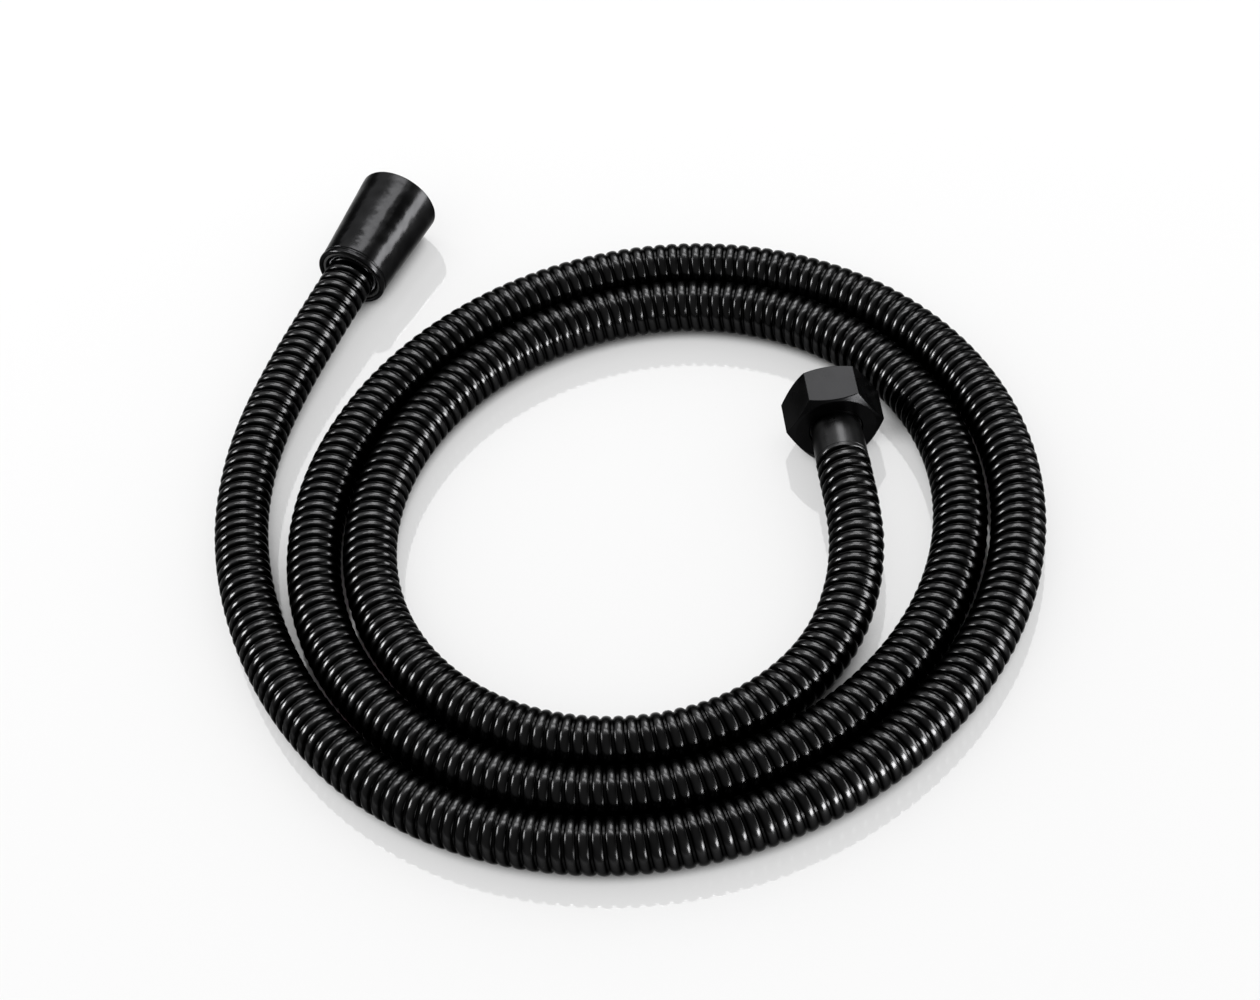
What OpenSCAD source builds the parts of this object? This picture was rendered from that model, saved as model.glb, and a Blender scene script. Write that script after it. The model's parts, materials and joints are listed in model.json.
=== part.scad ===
// Shower hose: a double-lock metal armour over a rubber tube, lying coiled on a table,
// with a tapered swivel nut on one end and a hexagon nut on the other, both for G 1/2 threads.
// Millimetres, +Z up. The coil lies on Z = 0 with its turns side by side.

/* [Hose] */
// Outside diameter over the ribs of the armour
hose_od = 14.5; // [12.5:0.5:18]
// Depth of the groove between two ribs
rib_depth = 0.55; // [0.3:0.05:0.6]
// Length of hose that each rib takes up
rib_step = 7.3; // [7.2:0.1:12]
// Wall of the armour below the grooves
armour_wall = 1.1; // [0.9:0.05:1.2]
// Wall of the inner tube
tube_wall = 1.2; // [0.8:0.1:1.6]
// Clearance between the armour and the inner tube
tube_clearance = 0.4; // [0.3:0.05:0.6]

/* [Coil] */
// Radius of the outer turn where the coil begins
coil_radius = 104.4; // [96:0.2:130]
// Gap between two turns
turn_gap = 0.5; // [0.5:0.1:3]
// How far the turns are pulled out of round
coil_oval = 1.9; // [0:0.1:3]

/* [Thread] */
// Crest diameter of the G 1/2 inside thread
thread_minor = 18.63; // [18.4:0.01:19]
// Depth of the chamfer at each thread's mouth
mouth_chamfer = 0.6; // [0.3:0.1:0.8]

/* [Hexagon nut] */
// Width across the flats
nut_af = 23; // [22.6:0.1:26]
// Length of the nut
nut_length = 12.8; // [12.4:0.1:16]
// Share of the corners that the end chamfers leave on the end faces
nut_face_share = 0.95; // [0.92:0.01:0.98]
// Length of the collar that shows behind the nut
collar_length = 12; // [11.4:0.1:15]
// Wall of the collar round the tube clamp, at its slim front end
collar_front_wall = 0.15; // [0.15:0.05:0.4]

/* [Cone nut] */
// Wall of the cone nut over the thread's crests, at its wide end
cone_front_wall = 2.5; // [2.2:0.1:4]
// Wall of the cone nut round its rear bush
cone_rear_wall = 1.2; // [0.8:0.1:1.6]
// Length of the cone nut
cone_length = 32; // [31:0.5:38]

/* [Fittings] */
// Bore of the water way through both cores
water_bore = 6; // [4:0.2:6.2]
// Diameter of the sealing flanges
flange_d = 17.8; // [17.2:0.1:18]
// Thickness of the sealing flanges
flange_t = 1.2; // [1:0.1:1.6]
// Thickness of the rubber sealing washers
washer_t = 1.6; // [1.4:0.1:2]
// Thickness of the plastic slip rings
slip_ring_t = 0.9; // [0.7:0.1:1.1]
// Wall of the ferrules crimped over the armour's ends
ferrule_wall = 0.45; // [0.4:0.05:0.6]
// Thickness of the wall of each nut behind its slip ring
shoulder_t = 1.5; // [1.2:0.1:1.8]
// Diameter of the swivel's spigot
spigot_d = 10.7; // [9.6:0.1:12]

/* [Hidden] */

$fn = 48;
play = 0.05;          // clearance of a seat that doesn't move
slide_play = 0.35;    // clearance of a nut that slides back over its collar
past = 1;             // how far a cutting shape runs past what it cuts
edge = 0.4;           // small chamfer that breaks a sharp edge
ring_sides = 8;       // sides of the hose's rings, with a flat one underneath
lift = 1 / cos(180 / ring_sides);   // corner radius of a ring over its flat radius

// ---- radii and lengths of the hose
crest_r = hose_od / 2;
groove_r = crest_r - rib_depth;
bore_r = groove_r - armour_wall;
neck_wall = 0.7;                    // armour turned down where a ferrule grips it
neck_r = bore_r + neck_wall;
neck_length = 4.5;
tube_r = bore_r - tube_clearance;
tube_bore_r = tube_r - tube_wall;

// ---- shared fitting sizes
barb_play = 0.08;
barb_depth = 0.3;
barb_r = tube_bore_r - barb_play;   // crest of the barbs inside the inner tube
barb_root_r = barb_r - barb_depth;
clamp_wall = 0.35;
clamp_in_r = tube_r * lift + play;
clamp_out_r = clamp_in_r + clamp_wall;
clamp_bore_r = clamp_out_r + play;  // the ferrules' bore round the clamps
ferrule_bore_r = neck_r * lift + play;
ferrule_r = ferrule_bore_r + ferrule_wall;
flange_r = flange_d / 2;
thread_r = thread_minor / 2;
loose_play = 0.2;                   // clearance of a washer or ring that lies loose in a nut
washer_r = thread_r - loose_play;
washer_bore_r = 5;
chamber_depth = 0.5;
chamber_r = thread_r + chamber_depth;   // room for the slip ring behind the thread
shoulder_bore_r = ferrule_r + slide_play;
slip_in_r = shoulder_bore_r - 0.1;      // a little inside the shoulder's bore, so that it can't stray
slip_out_r = chamber_r - loose_play;
slip_slit = 0.8;                        // slit that lets a slip ring snap in past the thread

// ---- hexagon end, measured along its axis from the collar's rear edge
neck_fit_r = tube_r - 0.25;         // the core's neck, pressed into the collar's front wall
collar_front_t = 0.5;
hex_tube_end = collar_length - collar_front_t;
hex_shoulder = collar_length + shoulder_t;
hex_flange = hex_shoulder + slip_ring_t + 2 * play;
hex_washer_at = hex_flange + flange_t;
hex_thread = hex_washer_at + washer_t + loose_play;
hex_front = collar_length + nut_length;
hex_nipple_tail = 1;                // length of the nipple behind the collar
nut_corner_r = nut_af / sqrt(3);
nut_face_r = nut_af / 2 * nut_face_share;
nut_chamfer = (nut_corner_r - nut_face_r) * tan(30);
collar_front_r = clamp_bore_r + collar_front_wall;
collar_rim = 0.15;                  // how far the crimped rear edge is turned in
crimp_land = 1.3;                   // stretch at the collar's front that bears on the tube

// ---- cone end, measured along its axis from the rear lip
bush_wall = 0.85;
bush_seat_play = 0.02;
bush_length = 3.4;
bush_at = 0.6;
guide_play = 0.3;                   // clearance of the bush, and of the nut's wall, round the hose
bush_in_r = crest_r * lift + guide_play;
bush_out_r = bush_in_r + bush_wall;
cone_ferrule_at = 1.2;
cone_armour_end = cone_ferrule_at + neck_length;
cone_tube_end = 9;
cone_barrel = cone_tube_end + 1.2;  // the core's collar closes the ferrule's front here
cone_barrel_length = 7.2;
cone_nipple_tail = 2;               // length of the nipple behind the nut's lip
barrel_r = ferrule_r - 0.15;        // slimmer than the ferrule, so that the nut slides over both
socket_floor = 0.2;                 // the socket's floor lies this far inside the barrel
cone_thrust = cone_barrel + cone_barrel_length + play;
cone_flange = cone_thrust + slip_ring_t + play;
cone_washer_at = cone_flange + flange_t;
cone_thread = cone_washer_at + washer_t + loose_play;
cone_shoulder = cone_thrust - play;
cone_rear_r = bush_out_r + cone_rear_wall;
cone_front_r = thread_r + cone_front_wall;
cone_lip = 2.6;                     // length of the rounded rear lip
cone_lip_rise = 0.15;
cone_lip_r = cone_rear_r + cone_lip_rise;
cone_pitch = atan((cone_front_r - cone_lip_r) / cone_length);

// ---- swivel
spigot_r = spigot_d / 2;
socket_r = spigot_r + play;
o_ring_section = 1.1;
o_ring_groove = 1.5;
o_ring_step = 2.1;
spigot_root_r = spigot_r - o_ring_section - play;   // bottom of the O-ring grooves
o_ring_rear_at = cone_barrel + 1.5;
o_ring_front_at = o_ring_rear_at + o_ring_step;
snap_at = o_ring_front_at + 1.9;
snap_t = 0.6;
snap_depth = 0.6;                   // how deep the snap ring sits in the spigot
snap_reach = 0.35;                  // how far it reaches into the socket's wall
snap_gap = 2.4;                     // opening that lets it spread

// ---- the route of the hose
// Angles run round the coil's centre, anticlockwise from +X; each turn adds 360.
coil_x = 5.7;
coil_y = -15.1;
oval_dir = 45;                      // direction in which the coil is longest
coil_start = 206;
coil_end = 974;
coil_step = 12;
turn_pitch = hose_od + turn_gap;

// Places chosen by hand for the two free stretches: the angle round the coil, how far outside the
// spiral's own radius, and the share of the climb from the table to the fitting's axis.
cone_lead = [[135, 16.7, 0.82], [143, 13.2, 0.5], [152, 10.5, 0.22], [161, 8.1, 0.06],
             [171, 5.5, 0], [182, 2.8, 0], [194, 0.8, 0]];
hex_lead = [[986, 0, 0], [998, -0.1, 0], [1010, -0.8, 0], [1022, -2.3, 0.03], [1034, -4.7, 0.14],
            [1047, -7.8, 0.42], [1060, -10.8, 0.76]];

cone_yaw = 30;                      // turn of the cone's axis from +Y towards +X
cone_place = [125.4, 23.8];
hex_yaw = 0;                        // the same turn of the hexagon nut's axis
hex_place = 750;                    // angle of the place where the nut comes nearest to the second turn
nut_room = 0.45;                    // free space there between its front corner and that turn

function spiral_r(a) =
    coil_radius - turn_pitch * (a - 180) / 360 + coil_oval * cos(2 * (a - oval_dir));
function around(a, out, z) =
    [coil_x + (spiral_r(a) + out) * cos(a), coil_y + (spiral_r(a) + out) * sin(a), z];

hose_z = crest_r;
cone_dir = [sin(cone_yaw) * cos(cone_pitch), cos(cone_yaw) * cos(cone_pitch), sin(cone_pitch)];
cone_origin = around(cone_place[0], cone_place[1], cone_lip_r / cos(cone_pitch));
hex_dir = [sin(hex_yaw), cos(hex_yaw), 0];
hex_near = around(hex_place, -(crest_r + nut_corner_r + nut_room), nut_af / 2);
hex_origin = hex_near - (hex_front - nut_chamfer) * hex_dir;

function on_cone(t) = cone_origin + t * cone_dir;
function on_hex(t) = hex_origin + t * hex_dir;
function climb(lead, top) =
    [for (p = lead) around(p[0], p[1], hose_z + p[2] * (top - hose_z))];

straight = hose_od;                 // each end of the hose runs straight for this far
cone_straight = [for (i = [0 : 4]) on_cone(cone_tube_end - i / 4 * (cone_tube_end + straight))];
hex_straight = [for (i = [0 : 4]) on_hex(i / 4 * (hex_tube_end + straight) - straight)];
route = concat(cone_straight,
               climb(cone_lead, on_cone(-straight)[2]),
               [for (a = [coil_start : coil_step : coil_end]) around(a, 0, hose_z)],
               climb(hex_lead, nut_af / 2),
               hex_straight);

// A smooth curve through the route's points, cut into short steps
steps = 6;
function spline(p0, p1, p2, p3, u) =
    0.5 * (2 * p1 + (p2 - p0) * u + (2 * p0 - 5 * p1 + 4 * p2 - p3) * u * u
           + (3 * p1 - p0 - 3 * p2 + p3) * u * u * u);
function on_table(p) = [p[0], p[1], max(p[2], hose_z)];
last = len(route) - 1;
curve = concat([for (i = [0 : last - 1], j = [0 : steps - 1])
                on_table(spline(i == 0 ? 2 * route[0] - route[1] : route[i - 1],
                                route[i], route[i + 1],
                                i == last - 1 ? 2 * route[last] - route[last - 1] : route[i + 2],
                                j / steps))],
               [route[last]]);

// Length along the curve at each of its points, and the curve by length
lengths = [for (i = 0, s = 0; i < len(curve);
                s = s + (i < len(curve) - 1 ? norm(curve[i + 1] - curve[i]) : 0), i = i + 1) s];
along = [for (axis = [0 : 2]) [for (i = [0 : len(curve) - 1]) [lengths[i], curve[i][axis]]]];
tube_length = lengths[len(lengths) - 1];
function at(s) = [for (axis = [0 : 2]) lookup(s, along[axis])];
reach = 0.4;                        // the heading is taken over this far to either side
function heading(s) =
    let (d = at(min(s + reach, tube_length)) - at(max(s - reach, 0))) d / norm(d);

// The armour begins and ends inside the ferrules
armour_from = cone_tube_end - cone_armour_end;
armour_to = tube_length - (hex_tube_end - neck_length);
ribs_from = armour_from + neck_length;
ribs_to = armour_to - neck_length;
rib_count = 2 * floor((ribs_to - ribs_from) / rib_step / 2);
rib_pitch = (ribs_to - ribs_from) / rib_count;
bore_steps = [armour_from, for (i = [0 : 2 : rib_count]) ribs_from + i * rib_pitch, armour_to];

// A ring of corners round the route, with a flat side underneath
function ring(s, r) =
    let (t = heading(s), side = cross(t, [0, 0, 1]) / norm(cross(t, [0, 0, 1])),
         up = cross(side, t), c = at(s))
    [for (k = [0 : ring_sides - 1])
        let (a = (k + 0.5) * 360 / ring_sides)
        c + r * lift * (cos(a) * side + sin(a) * up)];

// Two triangles for each side between one ring and the next
function band(first, flip) =
    [for (k = [0 : ring_sides - 1])
        let (a = first + k, b = first + (k + 1) % ring_sides, c = b + ring_sides,
             d = a + ring_sides)
        each (flip ? [[a, b, c], [a, c, d]] : [[c, b, a], [d, c, a]])];
function end_cap(outer, inner, flip) =
    [for (k = [0 : ring_sides - 1])
        let (a = outer + k, b = outer + (k + 1) % ring_sides, c = inner + (k + 1) % ring_sides,
             d = inner + k)
        each (flip ? [[a, b, c], [a, c, d]] : [[c, b, a], [d, c, a]])];

// A tube along the route: outside is a list of [length, radius], inside one of lengths
module hose_tube(outside, inside, inside_r) {
    outer_rings = [for (p = outside) each ring(p[0], p[1])];
    inner_rings = [for (s = inside) each ring(s, inside_r)];
    n_out = len(outside);
    n_in = len(inside);
    base = len(outer_rings);
    faces = concat([for (i = [0 : n_out - 2]) each band(i * ring_sides, true)],
                   [for (i = [0 : n_in - 2]) each band(base + i * ring_sides, false)],
                   end_cap(0, base, false),
                   end_cap((n_out - 1) * ring_sides, base + (n_in - 1) * ring_sides, true));
    polyhedron(points = concat(outer_rings, inner_rings), faces = faces, convexity = 20);
}

// Least gap between the hose and itself, from its rings' centres to the stretches between them
near_skip = ceil(4 * hose_od / rib_pitch);
centres = [for (i = [0 : rib_count]) at(ribs_from + i * rib_pitch)];
function to_stretch(p, a, b) =
    let (u = max(0, min(1, (p - a) * (b - a) / ((b - a) * (b - a))))) norm(p - a - u * (b - a));
least_gap = min([for (i = [0 : rib_count - near_skip - 1], j = [i + near_skip : rib_count - 1])
                 to_stretch(centres[i], centres[j], centres[j + 1])]) - hose_od;
echo(least_gap_of_the_hose_to_itself = least_gap, length_of_the_inner_tube = tube_length,
     ribs = rib_count, triangles = ring_sides * 4 * rib_count);

// ---- places of the two ends: local +Z runs along the fitting's axis, towards its mouth
module at_hex() translate(hex_origin) rotate([-90, 0, -hex_yaw]) children();
module at_cone() translate(cone_origin) rotate([cone_pitch - 90, 0, -cone_yaw]) children();

module turned(profile) rotate_extrude() polygon(profile);

module washer(from, thick, inner, outer)
    translate([0, 0, from]) difference() {
        cylinder(h = thick, r = outer);
        translate([0, 0, -past]) cylinder(h = thick + 2 * past, r = inner);
    }

module slit_ring(from, thick, inner, outer)
    difference() {
        washer(from, thick, inner, outer);
        translate([0, -slip_slit / 2, from - past])
            cube([outer + past, slip_slit, thick + 2 * past]);
    }

// Inside thread from a depth to the nut's front face, with the chamfer at its mouth
module threaded_bore(from, front) {
    translate([0, 0, from]) cylinder(h = front - from + past, r = thread_r);
    translate([0, 0, front - mouth_chamfer])
        cylinder(h = mouth_chamfer + 0.01, r1 = thread_r, r2 = thread_r + mouth_chamfer);
}

// Barbed nipple from its tip to the shoulder that the inner tube butts on
barbs = 4;
module nipple(tip, shoulder) {
    pitch = (shoulder - tip) / barbs;
    turned(concat([[water_bore / 2, tip], [barb_root_r, tip]],
                  [for (i = [0 : barbs - 1])
                      each [[barb_root_r, tip + i * pitch],
                            [barb_r, tip + (i + 0.75) * pitch],
                            [barb_r, tip + (i + 0.9) * pitch],
                            [barb_root_r, tip + (i + 0.9) * pitch]]],
                  [[barb_root_r, shoulder + 4 * play], [water_bore / 2, shoulder + 4 * play]]));
}

// ---- the hose
module hose_armour()
    color([0.07, 0.07, 0.075])
    hose_tube(concat([[armour_from, neck_r], [ribs_from, neck_r], [ribs_from, groove_r]],
                     [for (i = [0 : rib_count - 1])
                         each [[ribs_from + (i + 0.5) * rib_pitch, crest_r],
                               [ribs_from + (i + 1) * rib_pitch, groove_r]]],
                     [[ribs_to, neck_r], [armour_to, neck_r]]),
              bore_steps, bore_r);

module inner_tube()
    color([0.16, 0.16, 0.17])
    hose_tube([for (s = concat([0], bore_steps, [tube_length])) [s, tube_r]],
              concat([0], bore_steps, [tube_length]), tube_bore_r);

// ---- the hexagon end
module hex_nut()
    color([0.09, 0.09, 0.095])
    at_hex() difference() {
        intersection() {
            translate([0, 0, collar_length]) cylinder(h = nut_length, r = nut_corner_r, $fn = 6);
            turned([[0, collar_length], [nut_face_r, collar_length],
                    [nut_corner_r + past, collar_length + nut_chamfer + past * tan(30)],
                    [nut_corner_r + past, hex_front - nut_chamfer - past * tan(30)],
                    [nut_face_r, hex_front], [0, hex_front]]);
        }
        translate([0, 0, collar_length - past])
            cylinder(h = shoulder_t + 2 * past, r = shoulder_bore_r);
        translate([0, 0, hex_shoulder]) cylinder(h = hex_thread - hex_shoulder, r = chamber_r);
        threaded_bore(hex_thread - past / 2, hex_front);
    }

module hex_slip_ring()
    color([0.8, 0.8, 0.77])
    at_hex() slit_ring(hex_shoulder + play, slip_ring_t, slip_in_r, slip_out_r);

module hex_core()
    color([0.72, 0.58, 0.3])
    at_hex() {
        nipple(-hex_nipple_tail, hex_tube_end);
        turned([[water_bore / 2, hex_tube_end + play], [neck_fit_r, hex_tube_end + play],
                [neck_fit_r, hex_flange], [flange_r, hex_flange],
                [flange_r, hex_flange + flange_t], [water_bore / 2, hex_flange + flange_t]]);
    }

// Crimped collar: smooth outside, tapering down into the nut
module hex_ferrule()
    color([0.08, 0.08, 0.085])
    at_hex() turned([[ferrule_bore_r, 0], [ferrule_r - collar_rim, 0], [ferrule_r, edge],
                     [ferrule_r, neck_length + edge], [collar_front_r, collar_length],
                     [collar_front_r, hex_flange - play], [neck_fit_r + play, hex_flange - play],
                     [neck_fit_r + play, hex_tube_end + play],
                     [clamp_in_r, hex_tube_end + play], [clamp_in_r, hex_tube_end - crimp_land],
                     [clamp_bore_r, hex_tube_end - crimp_land], [clamp_bore_r, neck_length + play],
                     [ferrule_bore_r, neck_length + play]]);

module hex_tube_clamp()
    color([0.7, 0.7, 0.72])
    at_hex() washer(neck_length + edge, hex_tube_end - crimp_land - 0.2 - neck_length - edge,
                    clamp_in_r, clamp_out_r);

module hex_washer()
    color([0.12, 0.12, 0.12])
    at_hex() washer(hex_washer_at, washer_t, washer_bore_r, washer_r);

// ---- the cone end
module cone_nut()
    color([0.1, 0.1, 0.105])
    at_cone() difference() {
        turned([[0, 0], [cone_lip_r - 1, 0], [cone_lip_r - 0.3, 0.3], [cone_lip_r, 1],
                [cone_lip_r - 0.1, cone_lip - 0.6], [cone_rear_r, cone_lip],
                [cone_front_r, cone_length - edge], [cone_front_r - edge, cone_length],
                [0, cone_length]]);
        translate([0, 0, -past])
            cylinder(h = bush_at + bush_length + past, r = bush_out_r + bush_seat_play);
        cylinder(h = cone_shoulder - shoulder_t, r = bush_in_r + guide_play);
        cylinder(h = cone_shoulder + past, r = shoulder_bore_r);
        translate([0, 0, cone_shoulder]) cylinder(h = cone_thread - cone_shoulder, r = chamber_r);
        threaded_bore(cone_thread - past / 2, cone_length);
    }

module cone_rear_bush()
    color([0.05, 0.05, 0.05])
    at_cone() washer(bush_at, bush_length, bush_in_r, bush_out_r);

module cone_slip_ring()
    color([0.8, 0.8, 0.77])
    at_cone() slit_ring(cone_thrust, slip_ring_t, slip_in_r, slip_out_r);

module cone_washer()
    color([0.12, 0.12, 0.12])
    at_cone() washer(cone_washer_at, washer_t, washer_bore_r, washer_r);

// Swivel spigot: sealing flange in front, grooves for the O-rings and the snap ring behind
module swivel_spigot()
    color([0.72, 0.58, 0.3])
    at_cone() difference() {
        union() {
            translate([0, 0, cone_barrel + socket_floor + 2 * play])
                cylinder(h = cone_flange - cone_barrel, r = spigot_r);
            translate([0, 0, cone_flange]) cylinder(h = flange_t, r = flange_r);
        }
        translate([0, 0, cone_barrel]) cylinder(h = cone_length, r = water_bore / 2);
        for (z = [o_ring_rear_at, o_ring_front_at])
            washer(z - o_ring_groove / 2, o_ring_groove, spigot_root_r, spigot_r + past);
        washer(snap_at - play, snap_t + 2 * play, spigot_r - snap_depth - play, spigot_r + past);
    }

module swivel_thrust_washer()
    color([0.85, 0.85, 0.82])
    at_cone() washer(cone_thrust, slip_ring_t, spigot_r + 2 * play, barrel_r);

module o_ring(z)
    color([0.1, 0.1, 0.1])
    at_cone() translate([0, 0, z]) rotate_extrude()
        translate([spigot_root_r + o_ring_section / 2 + 0.02, 0])   // clear of the groove's floor
            circle(d = o_ring_section, $fn = 24);
module swivel_o_ring_front() o_ring(o_ring_front_at);
module swivel_o_ring_rear() o_ring(o_ring_rear_at);

module swivel_snap_ring()
    color([0.75, 0.75, 0.78])
    at_cone() difference() {
        washer(snap_at, snap_t, spigot_r - snap_depth, socket_r + snap_reach);
        translate([0, -snap_gap / 2, snap_at - past]) cube([spigot_d, snap_gap, snap_t + 2 * past]);
    }

// Barbed core whose front is the swivel's socket
module cone_core()
    color([0.72, 0.58, 0.3])
    at_cone() {
        nipple(-cone_nipple_tail, cone_tube_end);
        difference() {
            union() {
                translate([0, 0, cone_tube_end + play])
                    cylinder(h = cone_barrel - cone_tube_end, r = clamp_bore_r - play);
                translate([0, 0, cone_barrel]) cylinder(h = cone_barrel_length, r = barrel_r);
            }
            cylinder(h = cone_length, r = water_bore / 2);
            translate([0, 0, cone_barrel + socket_floor]) cylinder(h = cone_length, r = socket_r);
            washer(snap_at - 2 * play, snap_t + 4 * play, socket_r - past,
                   socket_r + snap_reach + 2 * play);
        }
    }

module cone_ferrule()
    color([0.6, 0.6, 0.62])
    at_cone() difference() {
        translate([0, 0, cone_ferrule_at])
            cylinder(h = cone_barrel - play - cone_ferrule_at, r = ferrule_r);
        translate([0, 0, -past]) cylinder(h = cone_armour_end + past + play, r = ferrule_bore_r);
        cylinder(h = cone_length, r = clamp_bore_r);
    }

module cone_tube_clamp()
    color([0.7, 0.7, 0.72])
    at_cone() washer(cone_armour_end + 4 * play, cone_tube_end - cone_armour_end - 6 * play,
                     clamp_in_r, clamp_out_r);

hose_armour();
inner_tube();
hex_nut();
hex_slip_ring();
hex_core();
hex_ferrule();
hex_tube_clamp();
hex_washer();
cone_nut();
cone_rear_bush();
cone_slip_ring();
cone_washer();
swivel_spigot();
swivel_thrust_washer();
swivel_o_ring_front();
swivel_o_ring_rear();
swivel_snap_ring();
cone_core();
cone_ferrule();
cone_tube_clamp();
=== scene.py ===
import json
from math import cos, pi, radians, sin, sqrt, tan

import bpy
from bpy.props import FloatProperty, FloatVectorProperty, IntProperty, PointerProperty
from mathutils import Matrix, Vector


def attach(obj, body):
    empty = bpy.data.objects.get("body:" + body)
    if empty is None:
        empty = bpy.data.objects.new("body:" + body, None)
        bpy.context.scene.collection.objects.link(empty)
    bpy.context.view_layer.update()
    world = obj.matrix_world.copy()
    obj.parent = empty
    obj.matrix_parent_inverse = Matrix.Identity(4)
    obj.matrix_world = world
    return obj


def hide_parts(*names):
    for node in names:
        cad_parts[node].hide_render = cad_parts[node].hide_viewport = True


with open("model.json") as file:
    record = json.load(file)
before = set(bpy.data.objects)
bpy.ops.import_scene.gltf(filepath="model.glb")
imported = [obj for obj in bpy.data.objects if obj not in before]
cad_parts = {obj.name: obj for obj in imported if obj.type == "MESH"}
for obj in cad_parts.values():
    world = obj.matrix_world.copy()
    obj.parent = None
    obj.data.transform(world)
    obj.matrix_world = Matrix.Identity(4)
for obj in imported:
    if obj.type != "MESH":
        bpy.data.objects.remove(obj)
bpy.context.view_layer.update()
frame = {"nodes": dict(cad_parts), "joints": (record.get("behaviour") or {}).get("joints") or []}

bl_info = {
    "name": "Coiled Metal Shower Hose",
    "version": (1, 0, 0),
    "blender": (4, 5, 0),
    "location": "3D View > Sidebar > Hose",
    "description": "Models a coiled metal shower hose with its cone nut and hexagon nut",
    "category": "Add Mesh",
}

MM = 0.001
WELD = 0.002 * MM
ALONG_X = Vector((1, 0, 0))
ALONG_Z = Vector((0, 0, 1))

# ---- the route of the hose, the same as in the construction
HOSE_OD = 14.5 * MM
HOSE_Z = HOSE_OD / 2
TURN_PITCH = HOSE_OD + 0.5 * MM
COIL_RADIUS = 104.4 * MM
COIL_OVAL = 1.9 * MM
OVAL_DIR = 45
COIL_X = 5.7 * MM
COIL_Y = -15.1 * MM
COIL_ANGLES = range(206, 975, 12)

# Angle round the coil, distance outside the spiral in millimetres, share of the climb
CONE_LEAD = [(135, 16.7, 0.82), (143, 13.2, 0.5), (152, 10.5, 0.22), (161, 8.1, 0.06),
             (171, 5.5, 0), (182, 2.8, 0), (194, 0.8, 0)]
HEX_LEAD = [(986, 0, 0), (998, -0.1, 0), (1010, -0.8, 0), (1022, -2.3, 0.03),
            (1034, -4.7, 0.14), (1047, -7.8, 0.42), (1060, -10.8, 0.76)]
STRAIGHT = HOSE_OD
SPLINE_STEPS = 12

# ---- the two ends, measured along their axes from the cone nut's lip and the collar's rear edge
CONE_TUBE_END = 9 * MM
CONE_ARMOUR_END = 5.7 * MM
HEX_TUBE_END = 11.5 * MM
NECK_LENGTH = 4.5 * MM
TUBE_RADIUS = 5.2 * MM
TUBE_BORE_RADIUS = 4 * MM
RIB_STEPS = 8
THREAD_STEPS = 64
FLANK_ANGLE = radians(27.5)

# ---- the inside of both nuts, measured from the shoulder's rear face
SHOULDER_END = 1.5 * MM
CHAMBER_END = 4.2 * MM
THREAD_CUT = 4.9 * MM
THREAD_START = 5.6 * MM
CHAMBER_RADIUS = 9.8 * MM


def joint_axis(name):
    """A joint's place and its direction, from the frame"""
    joint = next(j for j in frame["joints"] if j["name"] == name)
    return Vector(joint["pos_m"]), Vector(joint["axis"]).normalized()


CONE_AT, CONE_DIR = joint_axis("cone_nut_spin")
HEX_AT, HEX_DIR = joint_axis("hex_nut_spin")


def on_cone(t):
    return CONE_AT + t * CONE_DIR


def on_hex(t):
    return HEX_AT + t * HEX_DIR


def spiral_radius(angle):
    return (COIL_RADIUS - TURN_PITCH * (angle - 180) / 360
            + COIL_OVAL * cos(radians(2 * (angle - OVAL_DIR))))


def around(angle, out, z):
    """A point at an angle round the coil, so far outside the spiral"""
    r = spiral_radius(angle) + out
    return Vector((COIL_X + r * cos(radians(angle)), COIL_Y + r * sin(radians(angle)), z))


def climb(lead, top):
    return [around(angle, out * MM, HOSE_Z + share * (top - HOSE_Z)) for angle, out, share in lead]


def hose_line():
    """The centreline of the inner tube, from the cone end to the hexagon end"""
    route = [on_cone(CONE_TUBE_END - i / 4 * (CONE_TUBE_END + STRAIGHT)) for i in range(5)]
    route += climb(CONE_LEAD, on_cone(-STRAIGHT).z)
    route += [around(angle, 0, HOSE_Z) for angle in COIL_ANGLES]
    route += climb(HEX_LEAD, HEX_AT.z)
    route += [on_hex(i / 4 * (HEX_TUBE_END + STRAIGHT) - STRAIGHT) for i in range(5)]
    before = 2 * route[0] - route[1]
    after = 2 * route[-1] - route[-2]
    padded = [before] + route + [after]
    line = []
    for p0, p1, p2, p3 in zip(padded, padded[1:], padded[2:], padded[3:]):
        for step in range(SPLINE_STEPS):
            u = step / SPLINE_STEPS
            p = 0.5 * (2 * p1 + (p2 - p0) * u + (2 * p0 - 5 * p1 + 4 * p2 - p3) * u * u
                       + (3 * p1 - p0 - 3 * p2 + p3) * u ** 3)
            p.z = max(p.z, HOSE_Z)
            line.append(p)
    return line + [route[-1]]


def line_length(line):
    return sum((b - a).length for a, b in zip(line, line[1:]))


def part_of_line(line, start, end):
    """The points of a line between two lengths along it, with its own ends there"""
    kept = []
    run = 0
    for a, b in zip(line, line[1:]):
        step = (b - a).length
        for cut in (start, end):
            if run <= cut < run + step:
                kept.append(a + (b - a) * (cut - run) / step)
        if start < run + step < end:
            kept.append(b.copy())
        run += step
    return kept


# ---- sizes and colours that can be changed

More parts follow.
